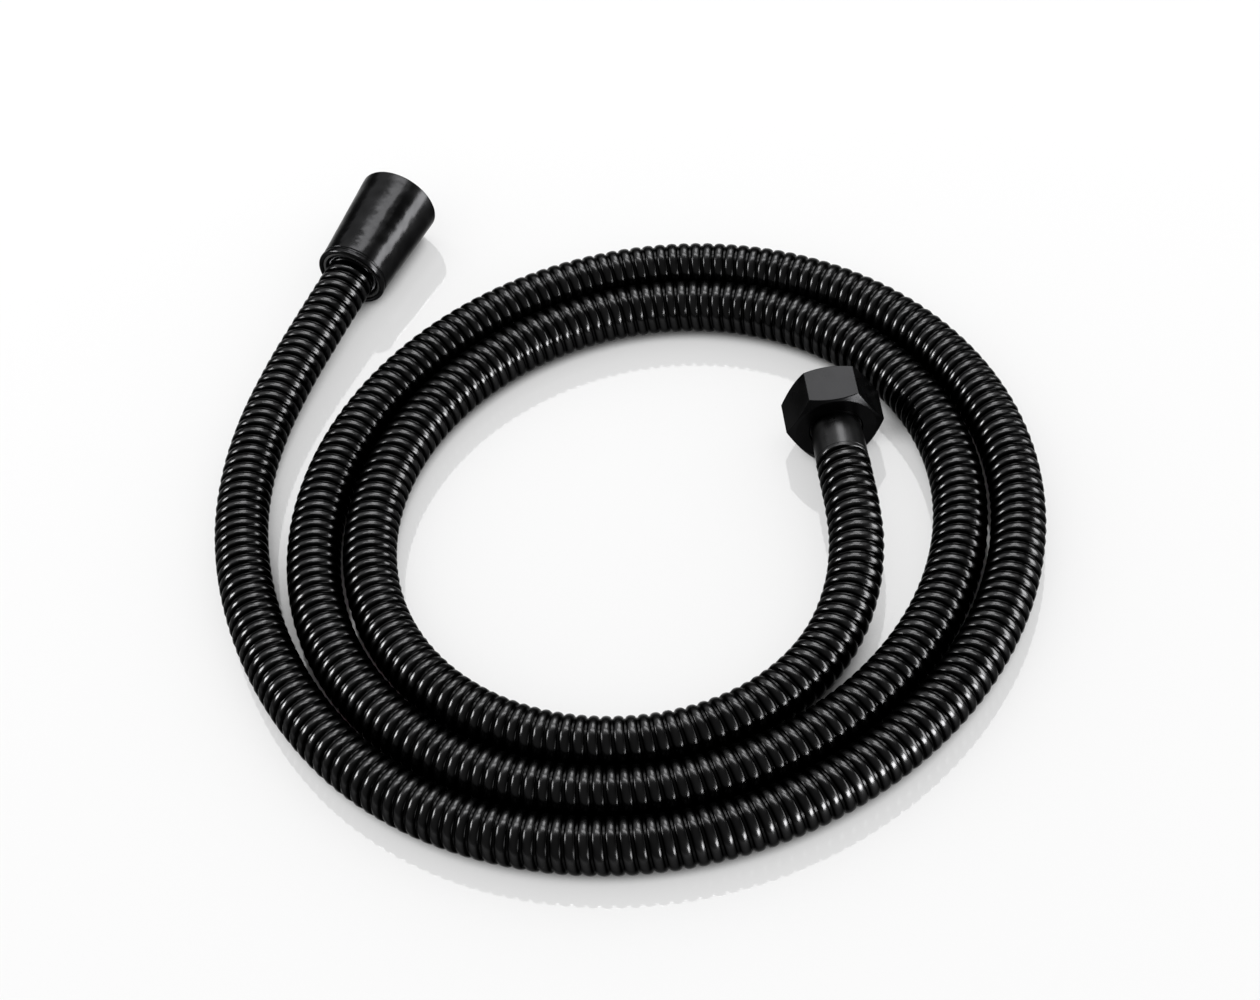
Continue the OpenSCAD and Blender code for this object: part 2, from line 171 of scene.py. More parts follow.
class HoseSizes(bpy.types.PropertyGroup):
    """Sizes of the armour and the tube"""
    rib_pitch: FloatProperty(
        name="Rib pitch", description="Length of hose that each turn of the strip takes up",
        default=3.3 * MM, min=2 * MM, unit="LENGTH")
    seam_width: FloatProperty(
        name="Seam width", description="Gap between the feet of two ribs",
        default=0.5 * MM, min=0.1 * MM, unit="LENGTH")
    rib_height: FloatProperty(
        name="Rib height", description="Height of the ribs over the bottom of the seam",
        default=0.77 * MM, min=0.2 * MM, unit="LENGTH")
    neck_radius: FloatProperty(
        name="Neck radius", description="Radius of the armour inside the collars",
        default=6.3 * MM, unit="LENGTH")
    bore_radius: FloatProperty(
        name="Bore radius", description="Inside radius of the armour",
        default=5.6 * MM, unit="LENGTH")
    sides: IntProperty(
        name="Sides", description="Steps round the hose", default=20, min=12)


class NutSizes(bpy.types.PropertyGroup):
    """Sizes of the two nuts, the collar and the bush"""
    across_flats: FloatProperty(
        name="Across flats", description="Width of the hexagon nut across its flats",
        default=23 * MM, unit="LENGTH")
    hex_length: FloatProperty(
        name="Hexagon length", description="Length of the hexagon nut",
        default=12.8 * MM, unit="LENGTH")
    collar_length: FloatProperty(
        name="Collar length", description="Length of the collar behind the hexagon nut",
        default=12 * MM, unit="LENGTH")
    collar_radius: FloatProperty(
        name="Collar radius", description="Outside radius of the collar over the armour",
        default=7 * MM, unit="LENGTH")
    cone_length: FloatProperty(
        name="Cone length", description="Length of the cone nut", default=32 * MM, unit="LENGTH")
    cone_front_radius: FloatProperty(
        name="Cone front radius", description="Outside radius of the cone nut at its mouth",
        default=11.81 * MM, unit="LENGTH")
    cone_rear_radius: FloatProperty(
        name="Cone rear radius", description="Outside radius of the cone nut behind its lip",
        default=10.19 * MM, unit="LENGTH")
    thread_crest: FloatProperty(
        name="Thread crest radius", description="Radius over the crests of the inside thread",
        default=9.315 * MM, unit="LENGTH")
    thread_root: FloatProperty(
        name="Thread root radius", description="Radius of the bottom of the inside thread",
        default=10.4775 * MM, unit="LENGTH")
    thread_pitch: FloatProperty(
        name="Thread pitch", description="Length of one turn of the thread",
        default=1.814 * MM, unit="LENGTH")
    sides: IntProperty(
        name="Sides", description="Steps round a turned piece", default=96, min=24)


def colour_property(name, description, red, green, blue):
    return FloatVectorProperty(name=name, description=description, default=(red, green, blue),
                               size=3, min=0, max=1, subtype="COLOR")


class HoseFinishes(bpy.types.PropertyGroup):
    """Colours of the finishes"""
    armour: colour_property("Armour", "Black coat of the armour", 0.012, 0.012, 0.0122)
    nut: colour_property("Nuts", "Black coat of the two nuts", 0.0058, 0.0058, 0.006)
    collar: colour_property("Collar", "Black coat of the collar", 0.011, 0.011, 0.0112)
    brass: colour_property("Brass", "Machined brass of the cores", 0.6, 0.42, 0.17)
    steel: colour_property("Steel", "Stainless steel of the bands and rings", 0.5, 0.5, 0.52)
    tube: colour_property("Tube", "Rubber of the inner tube", 0.03, 0.03, 0.033)
    seal: colour_property("Seals", "Rubber of the washers and O-rings", 0.012, 0.012, 0.012)
    bush: colour_property("Bush", "Black plastic of the rear bush", 0.008, 0.008, 0.008)
    slip: colour_property("Slip rings", "White plastic of the slip rings", 0.75, 0.74, 0.68)


class StageSettings(bpy.types.PropertyGroup):
    """The table top and the lights"""
    table_size: FloatProperty(
        name="Table size", description="Side of the table top", default=12, unit="LENGTH")
    table_glow: FloatProperty(
        name="Table glow", description="Brightness of the light table by itself", default=0.47)
    ambient: FloatProperty(
        name="Ambient", description="Brightness of the white room", default=0.8)
    gloss: FloatProperty(
        name="Gloss", description="Brightness of the white room in reflections", default=0.5)


# ---- modelling by hand, in steps that the pieces share

def deselect():
    if bpy.context.object and bpy.context.object.mode != "OBJECT":
        bpy.ops.object.mode_set(mode="OBJECT")
    bpy.ops.object.select_all(action="DESELECT")


def activate(obj):
    deselect()
    obj.select_set(True)
    bpy.context.view_layer.objects.active = obj


def edit(obj, mode="VERT"):
    activate(obj)
    bpy.ops.object.mode_set(mode="EDIT")
    bpy.ops.mesh.select_mode(type=mode)
    bpy.ops.mesh.select_all(action="DESELECT")


def choose(obj, parts, test):
    """Selects the vertices, edges or faces of the object in edit mode that pass a test"""
    bpy.ops.object.mode_set(mode="OBJECT")
    mesh = obj.data
    for group in (mesh.vertices, mesh.edges, mesh.polygons):
        group.foreach_set("select", [False] * len(group))
    chosen = [part for part in getattr(mesh, parts) if test(part)]
    for part in chosen:
        part.select = True
    bpy.ops.object.mode_set(mode="EDIT")
    if not chosen:
        raise RuntimeError(f"nothing to work on was found on {obj.name}")


def draw_line(name, points):
    """A new object whose one line of edges runs through the points, left in edit mode"""
    deselect()
    bpy.ops.mesh.primitive_plane_add(size=MM, location=(0, 0, 0))
    obj = bpy.context.object
    obj.name = name
    obj.data.name = name
    bpy.ops.object.mode_set(mode="EDIT")
    bpy.ops.mesh.select_mode(type="VERT")
    bpy.ops.mesh.select_all(action="SELECT")
    bpy.ops.mesh.merge(type="CENTER")
    bpy.ops.transform.translate(value=points[0])
    for a, b in zip(points, points[1:]):
        step = Vector(b) - Vector(a)
        bpy.ops.mesh.extrude_vertices_move(TRANSFORM_OT_translate={"value": step})
    return obj


def close_up():
    """Merges the doubles of all that is in edit mode and works out its normals anew"""
    bpy.ops.mesh.select_all(action="SELECT")
    bpy.ops.mesh.remove_doubles(threshold=0.001 * MM)
    bpy.ops.mesh.normals_make_consistent(inside=False)


def turn(name, profile, sides):
    """A closed piece turned round Z from a profile of (length, radius) points"""
    ring = list(profile) + [profile[0]]
    obj = draw_line(name, [(r, 0, t) for t, r in ring])
    bpy.ops.mesh.select_all(action="SELECT")
    bpy.ops.mesh.spin(steps=sides, angle=2 * pi, center=(0, 0, 0), axis=(0, 0, 1))
    close_up()
    deselect()
    return obj


def arc(t, r, radius, start, end, steps=4):
    """Points of a rounded edge in a profile, by its centre and two angles from the axis"""
    angles = [radians(start + (end - start) * i / steps) for i in range(steps + 1)]
    return [(t + radius * cos(a), r + radius * sin(a)) for a in angles]


def finish_modifier(obj, kind, **settings):
    """Adds a modifier and applies it"""
    activate(obj)
    bpy.ops.object.modifier_add(type=kind)
    modifier = obj.modifiers[-1]
    for key, value in settings.items():
        setattr(modifier, key, value)
    bpy.ops.object.modifier_apply(modifier=modifier.name)


def cut(obj, tool, operation="DIFFERENCE"):
    """Cuts the object with a tool, and takes the tool away"""
    faces = len(obj.data.polygons)
    finish_modifier(obj, "BOOLEAN", operation=operation, object=tool, solver="EXACT")
    if len(obj.data.polygons) == faces or not obj.data.polygons:
        raise RuntimeError(f"{tool.name} did not cut {obj.name}")
    bpy.data.objects.remove(tool)


def smooth(obj, angle=32, weighted=True):
    activate(obj)
    bpy.ops.object.shade_smooth_by_angle(angle=radians(angle))
    if weighted:
        finish_modifier(obj, "WEIGHTED_NORMAL", keep_sharp=True, weight=90)


def put(obj, matrix):
    """Moves a finished piece to its place and keeps its object at the origin"""
    activate(obj)
    obj.matrix_world = matrix
    bpy.ops.object.transform_apply(location=True, rotation=True, scale=True)


def cone_place():
    """Local Z runs along the cone nut's axis, towards its mouth"""
    return Matrix.Translation(CONE_AT) @ CONE_DIR.to_track_quat("Z", "Y").to_matrix().to_4x4()


def hex_place():
    """Local Z runs along the hexagon nut's axis and local X stays level"""
    across = HEX_DIR.cross(Vector((0, 0, 1))).normalized()
    up = HEX_DIR.cross(across)
    turn_in = Matrix((across, up, HEX_DIR)).transposed().to_4x4()
    return Matrix.Translation(HEX_AT) @ turn_in


def carry(obj, body, slot, *nodes):
    """Puts a finished piece on its body, in place of the nodes it stands for"""
    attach(obj, body)
    if nodes:
        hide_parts(*nodes)


# ---- materials

def new_material(name):
    material = bpy.data.materials.new(name)
    material.use_nodes = True
    return material, material.node_tree.nodes, material.node_tree.links


def socket(group, name, kind, way, value=None):
    made = group.interface.new_socket(name=name, socket_type=kind, in_out=way)
    if value is not None:
        made.default_value = value


def set_stops(ramp, stops):
    """Gives a colour ramp its stops, as rising positions with a colour each"""
    elements = ramp.color_ramp.elements
    for position, colour in stops[1:-1]:
        elements.new(position)
    for element, (position, colour) in zip(elements, stops):
        element.position = position
        element.color = (*colour, 1)


def uneven_group():
    """Low waves and fine grain in a coat: puts out a mask for colour and roughness, and a normal"""
    group = bpy.data.node_groups.get("Uneven coat")
    if group:
        return group
    group = bpy.data.node_groups.new("Uneven coat", "ShaderNodeTree")
    socket(group, "Coordinates", "NodeSocketVector", "INPUT")
    socket(group, "Wave size", "NodeSocketFloat", "INPUT", 120)
    socket(group, "Grain size", "NodeSocketFloat", "INPUT", 2500)
    socket(group, "Wave depth", "NodeSocketFloat", "INPUT", 0.2)
    socket(group, "Grain depth", "NodeSocketFloat", "INPUT", 0.05)
    socket(group, "Mask", "NodeSocketFloat", "OUTPUT")
    socket(group, "Normal", "NodeSocketVector", "OUTPUT")
    nodes = group.nodes
    links = group.links
    given = nodes.new("NodeGroupInput")
    put_out = nodes.new("NodeGroupOutput")
    waves = nodes.new("ShaderNodeTexNoise")
    waves.inputs["Detail"].default_value = 2
    waves.inputs["Roughness"].default_value = 0.45
    grain = nodes.new("ShaderNodeTexNoise")
    grain.inputs["Detail"].default_value = 3
    low = nodes.new("ShaderNodeBump")
    low.inputs["Distance"].default_value = 0.4 * MM
    fine = nodes.new("ShaderNodeBump")
    fine.inputs["Distance"].default_value = 0.05 * MM
    links.new(given.outputs["Coordinates"], waves.inputs["Vector"])
    links.new(given.outputs["Coordinates"], grain.inputs["Vector"])
    links.new(given.outputs["Wave size"], waves.inputs["Scale"])
    links.new(given.outputs["Grain size"], grain.inputs["Scale"])
    links.new(given.outputs["Wave depth"], low.inputs["Strength"])
    links.new(given.outputs["Grain depth"], fine.inputs["Strength"])
    links.new(waves.outputs["Fac"], low.inputs["Height"])
    links.new(grain.outputs["Fac"], fine.inputs["Height"])
    links.new(low.outputs["Normal"], fine.inputs["Normal"])
    links.new(fine.outputs["Normal"], put_out.inputs["Normal"])
    links.new(waves.outputs["Fac"], put_out.inputs["Mask"])
    return group


def coat(name, colour, paler, roughness, wave=(120, 0.2), grain=(2500, 0.05), metallic=0.0,
         edge=1.0, spread=0.08):
    """A finish whose colour, roughness and surface vary a little from place to place

    Where it is palest the colour is so many times itself. Wave and grain are each a scale and a
    depth, edge tints the gloss at grazing angles, and spread is that of the roughness."""
    material, nodes, links = new_material(name)
    shader = nodes["Principled BSDF"]
    shader.inputs["Metallic"].default_value = metallic
    shader.inputs["Specular Tint"].default_value = (edge, edge, edge, 1)
    place = nodes.new("ShaderNodeTexCoord")
    uneven = nodes.new("ShaderNodeGroup")
    uneven.node_tree = uneven_group()
    uneven.inputs["Wave size"].default_value = wave[0]
    uneven.inputs["Wave depth"].default_value = wave[1]
    uneven.inputs["Grain size"].default_value = grain[0]
    uneven.inputs["Grain depth"].default_value = grain[1]
    links.new(place.outputs["Object"], uneven.inputs["Coordinates"])
    links.new(uneven.outputs["Normal"], shader.inputs["Normal"])
    shade = nodes.new("ShaderNodeValToRGB")
    set_stops(shade, [(0.3, colour), (0.72, [min(1, part * paler) for part in colour])])
    links.new(uneven.outputs["Mask"], shade.inputs["Fac"])
    links.new(shade.outputs["Color"], shader.inputs["Base Color"])
    rough = nodes.new("ShaderNodeMapRange")
    rough.inputs["From Min"].default_value = 0.3
    rough.inputs["From Max"].default_value = 0.7
    rough.inputs["To Min"].default_value = roughness - spread / 2
    rough.inputs["To Max"].default_value = roughness + spread / 2
    links.new(uneven.outputs["Mask"], rough.inputs["Value"])
    links.new(rough.outputs["Result"], shader.inputs["Roughness"])
    return material


def paint_seam_shade(material):
    """Painted shade in the grooves: keeps the coat's colour, and with it the gloss, on the crests
    of the ribs, darkens it on the flanks where shade falls, and leaves a trace of it in the seam
    floors
    """
    nodes = material.node_tree.nodes
    links = material.node_tree.links
    shader = nodes["Principled BSDF"]
    full = shader.inputs["Base Color"].links[0].from_socket
    height = nodes.new("ShaderNodeAttribute")
    height.attribute_name = "rib"
    # painted shade: the ramp below scales the coat's colour by the height on the rib, down to 5% on
    # the flanks and 30% in the seam floor
    gloss = nodes.new("ShaderNodeValToRGB")
    set_stops(gloss, [(position, (share, share, share)) for position, share in
                      ((0, 0.3), (0.08, 0.05), (0.6, 0.05), (0.98, 1))])
    both = nodes.new("ShaderNodeMix")
    both.data_type = "RGBA"
    both.blend_type = "MULTIPLY"
    both.inputs["Factor"].default_value = 1
    links.new(height.outputs["Fac"], gloss.inputs["Fac"])
    links.new(full, both.inputs["A"])
    links.new(gloss.outputs["Color"], both.inputs["B"])
    links.new(both.outputs["Result"], shader.inputs["Base Color"])


def nut_coat(finishes, name, roughness, wave, painted_shade_tone=1):
    """The coat of a nut, the colour that both nuts have times a tone; a tone below 1 is painted
    shade, a darker copy of the same coat that dims what that nut reflects
    """
    return coat(name, [part * painted_shade_tone for part in finishes.nut], 1.6, roughness, wave=wave,
                grain=(1500, 0.12), metallic=1.0, edge=0.5, spread=0.1)


def dress(obj, material):
    obj.data.materials.clear()
    obj.data.materials.append(material)


def dress_node(node, material):
    """Gives a carried-over CAD node its finish"""
    obj = frame["nodes"][node]
    dress(obj, material)


# ---- the pieces

def hose_curve(line):
    """The centreline as a curve that bends straight pieces into the coil"""
    curve = bpy.data.curves.new("centreline", "CURVE")
    curve.dimensions = "3D"
    curve.twist_mode = "Z_UP"
    spline = curve.splines.new("POLY")
    spline.points.add(len(line) - 1)
    for point, p in zip(spline.points, line):
        point.co = (*p, 1)
    obj = bpy.data.objects.new("centreline", curve)
    bpy.context.scene.collection.objects.link(obj)
    return obj


def lay_along(obj, line):
    """Bends a straight piece, modelled along X, into the line"""
    guide = hose_curve(line)
    finish_modifier(obj, "CURVE", object=guide, deform_axis="POS_X")
    bpy.data.objects.remove(guide)


def straight_tube(name, start, end, outer, inner, sides, cuts):
    """A tube along X with closed ends, left in edit mode, its long walls cut into short steps"""
    corners = [(start, 0, inner), (start, 0, outer), (end, 0, outer), (end, 0, inner)]
    obj = draw_line(name, corners + corners[:1])
    choose(obj, "edges", lambda e: abs(obj.data.vertices[e.vertices[0]].co.x
                                       - obj.data.vertices[e.vertices[1]].co.x) > start + MM)
    bpy.ops.mesh.subdivide(number_cuts=cuts)
    bpy.ops.mesh.select_all(action="SELECT")
    bpy.ops.mesh.spin(steps=sides, angle=2 * pi, center=(0, 0, 0), axis=(1, 0, 0))
    close_up()
    return obj


def rib_profile(sizes):
    """One turn of the interlocked strip: a rib like half an ellipse, then the seam"""
    base = HOSE_OD / 2 - sizes.rib_height
    half = (sizes.rib_pitch - sizes.seam_width) / 2
    angles = [pi * step / RIB_STEPS for step in range(RIB_STEPS + 1)]
    rib = [(half * (1 - cos(a)), base + sizes.rib_height * sin(a)) for a in angles]
    return rib + [(sizes.rib_pitch, base)]


def wind(name, points, axis, pitch, length, steps):
    """Winds a profile round X or Z with turns to spare at both ends, left in edit mode"""
    obj = draw_line(name, points)
    bpy.ops.object.mode_set(mode="OBJECT")
    finish_modifier(obj, "SCREW", axis=axis, angle=2 * pi, screw_offset=pitch,
                    iterations=int(length / pitch) + 3, steps=steps, render_steps=steps,
                    use_merge_vertices=True, merge_threshold=WELD)
    edit(obj)
    bpy.ops.mesh.select_all(action="SELECT")
    bpy.ops.mesh.remove_doubles(threshold=WELD)
    return obj


def trim(axis, start, end, fill=False):
    """Cuts what is in edit mode square at two places along an axis and drops what lies outside"""
    for place, side in ((start, -1), (end, 1)):
        bpy.ops.mesh.select_all(action="SELECT")
        bpy.ops.mesh.bisect(plane_co=place * axis, plane_no=side * axis, clear_outer=True,
                            use_fill=fill, threshold=0.0005 * MM)


def ribbed_strip(name, sizes, start, end):
    """The strip wound round X between two square ends, left in edit mode"""
    pitch = sizes.rib_pitch
    points = [(x + start - 1.5 * pitch, 0, r) for x, r in rib_profile(sizes)]
    obj = wind(name, points, "X", pitch, end - start, sizes.sides)
    trim(ALONG_X, start, end)
    return obj


def bridge_at(obj, place):
    """Joins the strip's square end to the neck that starts in the same plane

    Known fault: at both ends some of these faces cross the hollow, and with them the armour's
    outer wall comes out facing inwards. The two loops share one plane and one centre, which
    probably makes the operator pair them the wrong way round.
    """
    mesh = obj.data
    bpy.ops.object.mode_set(mode="OBJECT")
    faces_of = {}
    for face in mesh.polygons:
        for key in face.edge_keys:
            faces_of[key] = faces_of.get(key, 0) + 1
    choose(obj, "edges", lambda e: faces_of.get(e.key) == 1 and all(
        abs(mesh.vertices[v].co.x - place) < WELD for v in e.vertices))
    bpy.ops.mesh.bridge_edge_loops()


def from_x(point):
    """A point's distance from the X axis"""
    return sqrt(point.y ** 2 + point.z ** 2)


def mark_ribs(armour, sizes):
    """Notes each point's height on its rib, from 0 in the seam to 1 on the crest; the armour's coat
    reads it to paint shade into the seams
    """
    mesh = armour.data
    height = mesh.attributes.new("rib", "FLOAT", "POINT")
    base = HOSE_OD / 2 - sizes.rib_height
    for vertex, value in zip(mesh.vertices, height.data):
        value.value = min(1, max(0, (from_x(vertex.co) - base) / sizes.rib_height))


def armour_span(line):
    """Where the armour starts and ends along the line of the inner tube"""
    return CONE_TUBE_END - CONE_ARMOUR_END, line_length(line) - (HEX_TUBE_END - NECK_LENGTH)


def make_armour(sizes, line):
    """A smooth tube whose outer wall between the necks gives way to the wound strip"""
    start, end = armour_span(line)
    ribs_start = start + NECK_LENGTH
    ribs_end = end - NECK_LENGTH
    step = 6 * MM
    shell = straight_tube("armour_neck", start, end, sizes.neck_radius, sizes.bore_radius,
                          sizes.sides, int((end - start) / step))
    for place, side in ((ribs_start, -1), (ribs_end, 1)):
        bpy.ops.mesh.select_all(action="SELECT")
        bpy.ops.mesh.bisect(plane_co=place * ALONG_X, plane_no=side * ALONG_X)
    limit = (sizes.neck_radius + sizes.bore_radius) / 2
    choose(shell, "polygons", lambda face: (ribs_start < face.center.x < ribs_end
                                            and from_x(face.center) > limit))
    bpy.ops.mesh.select_mode(type="FACE")
    bpy.ops.mesh.delete(type="FACE")
    deselect()
    armour = ribbed_strip("hose_armour_ribbed", sizes, ribs_start, ribs_end)
    activate(armour)
    shell.select_set(True)
    bpy.ops.object.join()
    edit(armour, "EDGE")
    bridge_at(armour, ribs_start)
    bridge_at(armour, ribs_end)
    close_up()
    deselect()
    mark_ribs(armour, sizes)
    lay_along(armour, line)
    smooth(armour, 60, weighted=False)
    return armour


def thread_tool(sizes, start, end):
    """A screw that cuts the inside thread between two lengths along Z"""
    pitch = sizes.thread_pitch
    low = sizes.thread_crest - 0.07 * MM
    high = sizes.thread_root
    flank = (high - low) * tan(FLANK_ANGLE)
    tip = 0.2 * MM
    foot = (pitch - tip - 2 * flank) / 2
    profile = [(0, low), (foot, low), (foot + flank, high), (foot + flank + tip, high),
               (pitch - foot, low), (pitch, low)]
    points = [(r, 0, t + start - 1.5 * pitch) for t, r in profile]
    obj = wind("thread_tool", points, "Z", pitch, end - start, THREAD_STEPS)
    trim(ALONG_Z, start, end, fill=True)
    close_up()
    deselect()
    return obj


def bore_profile(sizes, rear, hole, front):
    """Half section of a nut's inside, from its rear hole to its mouth"""
    crest = sizes.thread_crest
    root = sizes.thread_root
    shoulder = rear + SHOULDER_END
    chamber_end = rear + CHAMBER_END
    thread_start = rear + THREAD_START
    relief = root + 0.06 * MM
    mouth = root + 0.05 * MM
    return [(rear, hole), (shoulder, hole), (shoulder, CHAMBER_RADIUS),
            (chamber_end, CHAMBER_RADIUS), (chamber_end + 0.3 * MM, relief),
            (thread_start - 0.9 * MM, relief), (thread_start, crest),
            (front - (mouth - crest) * 0.8, crest), (front, mouth)]


def make_hex_nut(sizes):
    """A bevelled hexagon with chamfered corners, bored and threaded"""
    rear = sizes.collar_length
    front = rear + sizes.hex_length
    flat = sizes.across_flats / 2
    corner = sizes.across_flats / sqrt(3)
    deselect()
    bpy.ops.mesh.primitive_cylinder_add(vertices=6, radius=corner, depth=sizes.hex_length,
                                        location=(0, 0, (rear + front) / 2),
                                        rotation=(0, 0, radians(30)))
    nut = bpy.context.object
    nut.name = "hexagon_nut"
    nut.data.name = "hexagon_nut"
    bpy.ops.object.transform_apply(location=True, rotation=True, scale=True)
    face = 0.95 * flat
    far = corner + MM
    slope = (far - face) * tan(radians(30))
    blank = turn("chamfer_tool", [(rear, 0), (rear, face), (rear + slope, far),
                                  (front - slope, far), (front, face), (front, 0)], sizes.sides)
    cut(nut, blank, "INTERSECT")
    finish_modifier(nut, "BEVEL", width=0.22 * MM, segments=3, limit_method="ANGLE",
                    angle_limit=radians(14), use_clamp_overlap=True)
    hole_r = 7.05 * MM
    inside = bore_profile(sizes, rear, hole_r, front)
    edge_in = [(rear - MM, 0), (rear - MM, hole_r + 1.3 * MM), (rear + 0.3 * MM, hole_r)]
    edge_out = [(front + MM, inside[-1][1] + 1.25 * MM), (front + MM, 0)]
    cut(nut, turn("bore_tool", edge_in + inside[1:] + edge_out, sizes.sides))
    cut(nut, thread_tool(sizes, rear + THREAD_CUT, front + MM))
    smooth(nut)
    put(nut, hex_place())
    return nut


def make_cone_nut(sizes):
    """A tapered nut with a rounded lip and a groove behind it, threaded inside"""
    length = sizes.cone_length
    rear_r = sizes.cone_rear_radius
    front_r = sizes.cone_front_radius
    lip_r = rear_r + 0.14 * MM
    seat_r = 9.02 * MM
    groove = 2.15 * MM
    lip = (arc(0.55 * MM, seat_r + 0.35 * MM, 0.35 * MM, 270, 180, 3)
           + arc(0.75 * MM, lip_r - 0.75 * MM, 0.75 * MM, 180, 90, 5)
           + arc(1.45 * MM, lip_r - 0.35 * MM, 0.35 * MM, 90, 20, 3))
    body = ([(groove - 0.12 * MM, rear_r - 0.22 * MM), (groove + 0.12 * MM, rear_r - 0.22 * MM)]
            + arc(groove + 0.55 * MM, rear_r - 0.3 * MM, 0.3 * MM, 165, 95, 3)
            + arc(length - 0.6 * MM, front_r - 0.6 * MM, 0.6 * MM, 88, 0, 5))
    hole_r = 7.67 * MM
    guide_r = 8.45 * MM
    rear = 15.9 * MM
    seat_end = 4.1 * MM
    inside = bore_profile(sizes, rear, hole_r, length)
    hole = [(rear, hole_r), (rear, guide_r), (seat_end, guide_r), (seat_end, seat_r)]
    profile = lip + body + list(reversed(inside[1:])) + hole
    nut = turn("cone_nut_turned", profile, sizes.sides)
    cut(nut, thread_tool(sizes, rear + THREAD_CUT, length + MM))
    smooth(nut)
    put(nut, cone_place())
    return nut


def make_collar(sizes):
    """A collar with a crimped line, a taper to the front and a flange inside the nut"""
    radius = sizes.collar_radius
    length = sizes.collar_length
    edge = 0.28 * MM
    crimp_r = radius - 0.07 * MM
    taper_start = 4.9 * MM
    front_r = 6.65 * MM
    flange_r = 6.95 * MM
    flange = length + 0.5 * MM
    end = length + 2.4 * MM
    neck_r = 6.36 * MM
    neck_end = 4.6 * MM
    clamp_r = 6.08 * MM
    clamp_end = length - 1.8 * MM
    barb_r = 5.68 * MM
    barb_end = length - 0.45 * MM
    fit_r = 5.0 * MM
    outside = (arc(edge, radius - edge, edge, 180, 90, 4)
               + [(0.95 * MM, radius), (1.05 * MM, crimp_r), (1.25 * MM, crimp_r),
                  (1.35 * MM, radius), (taper_start, radius), (length, front_r),
                  (flange, front_r), (flange, flange_r), (end, flange_r)])
    inside = [(end, fit_r), (barb_end, fit_r), (barb_end, barb_r), (clamp_end, barb_r),
              (clamp_end, clamp_r), (neck_end, clamp_r), (neck_end, neck_r), (0, neck_r)]
    collar = turn("crimped_collar", outside + inside, sizes.sides)
    smooth(collar)
    put(collar, hex_place())
    return collar


def make_bush(sizes):
    """A plain ring with both edges of its rear face rounded"""
    inner = 8.15 * MM
    outer = 8.99 * MM
    start = 0.6 * MM
    end = 4 * MM
    edge_in = 0.25 * MM
    edge_out = 0.15 * MM
    profile = (arc(start + edge_in, inner + edge_in, edge_in, 270, 180, 3)
               + arc(start + edge_out, outer - edge_out, edge_out, 180, 90, 3)
               + [(end, outer), (end, inner)])
    bush = turn("rear_guide_bush", profile, sizes.sides)
    smooth(bush)
    put(bush, cone_place())
    return bush


def make_washer(name, start, place, sizes):
    """A moulded rubber washer with rounded edges and a raised sealing ring on each face"""
    thick = 1.6 * MM
    inner = 5 * MM
    outer = 9.11 * MM
    edge = 0.2 * MM
    middle = (inner + outer) / 2
    bead = 0.05 * MM
    bead_half = 0.4 * MM
    bead_foot = 0.5 * MM
    rear = start + bead
    front = start + thick - bead

    def face(t, way):
        crest = t - way * bead
        return [(t, inner + edge), (t, middle - bead_foot), (crest, middle - bead_half),
                (crest, middle + bead_half), (t, middle + bead_foot), (t, outer - edge)]

    profile = (face(rear, 1) + arc(rear + edge, outer - edge, edge, 150, 90, 2)
               + arc(front - edge, outer - edge, edge, 90, 30, 2)
               + list(reversed(face(front, -1)))
               + arc(front - edge, inner + edge, edge, 330, 270, 2)
               + arc(rear + edge, inner + edge, edge, 270, 210, 2))
    washer = turn(name, profile, sizes.sides)
    smooth(washer)
    put(washer, place)
    return washer


# ---- operators

class HOSE_OT_camera(bpy.types.Operator):
    """Place the camera above the front of the coil"""
    bl_idname = "hose.camera"
    bl_label = "Camera"

    def execute(self, context):
        target = Vector((1.58, -0.2, 0)) * MM
        place = Vector((1.58, -497.8, 574.4)) * MM
        roll = radians(8.21)
        forward = (target - place).normalized()
        level = forward.cross(Vector((0, 0, 1))).normalized()
        upright = level.cross(forward)
        right = level * cos(roll) - upright * sin(roll)
        up = level * sin(roll) + upright * cos(roll)
        deselect()
        bpy.ops.object.camera_add(location=place)
        camera = context.object
        camera.name = "camera"
        camera.matrix_world = (Matrix.Translation(place)
                               @ Matrix((right, up, -forward)).transposed().to_4x4())
        camera.data.sensor_width = 36
        camera.data.lens = 80.6
        camera.data.clip_start = 0.01
        camera.data.clip_end = 20
        context.scene.camera = camera
        return {"FINISHED"}


class HOSE_OT_armour(bpy.types.Operator):
    """Wind the interlocked strip and lay it along the coil"""
    bl_idname = "hose.armour"
    bl_label = "Armour"

    def execute(self, context):
        finishes = context.scene.hose_finishes
        armour = make_armour(context.scene.hose_sizes, hose_line())
        finish = coat("black_armour_coat", finishes.armour, 1.3, 0.21, wave=(160, 0.05),
                      grain=(1800, 0.08), metallic=1.0, edge=0.5, spread=0.06)
        # painted shade on the flanks of the ribs and in the seams
        paint_seam_shade(finish)
        dress(armour, finish)
        carry(armour, "hose", "armour", "hose_armour")
        return {"FINISHED"}


class HOSE_OT_inner_tube(bpy.types.Operator):
    """Lay the rubber tube inside the armour"""
    bl_idname = "hose.inner_tube"
    bl_label = "Inner tube"

    def execute(self, context):
        finishes = context.scene.hose_finishes
        line = hose_line()
        length = line_length(line)
        tube = straight_tube("water_tube", 0, length, TUBE_RADIUS, TUBE_BORE_RADIUS, 20,
                             int(length / (5 * MM)))
        deselect()
        lay_along(tube, line)
        smooth(tube, 40, weighted=False)
        dress(tube, coat("tube_rubber", finishes.tube, 1.5, 0.6, wave=(200, 0.05),
                         grain=(3000, 0.2)))
        carry(tube, "hose", "tube_rubber", "inner_tube")
        return {"FINISHED"}


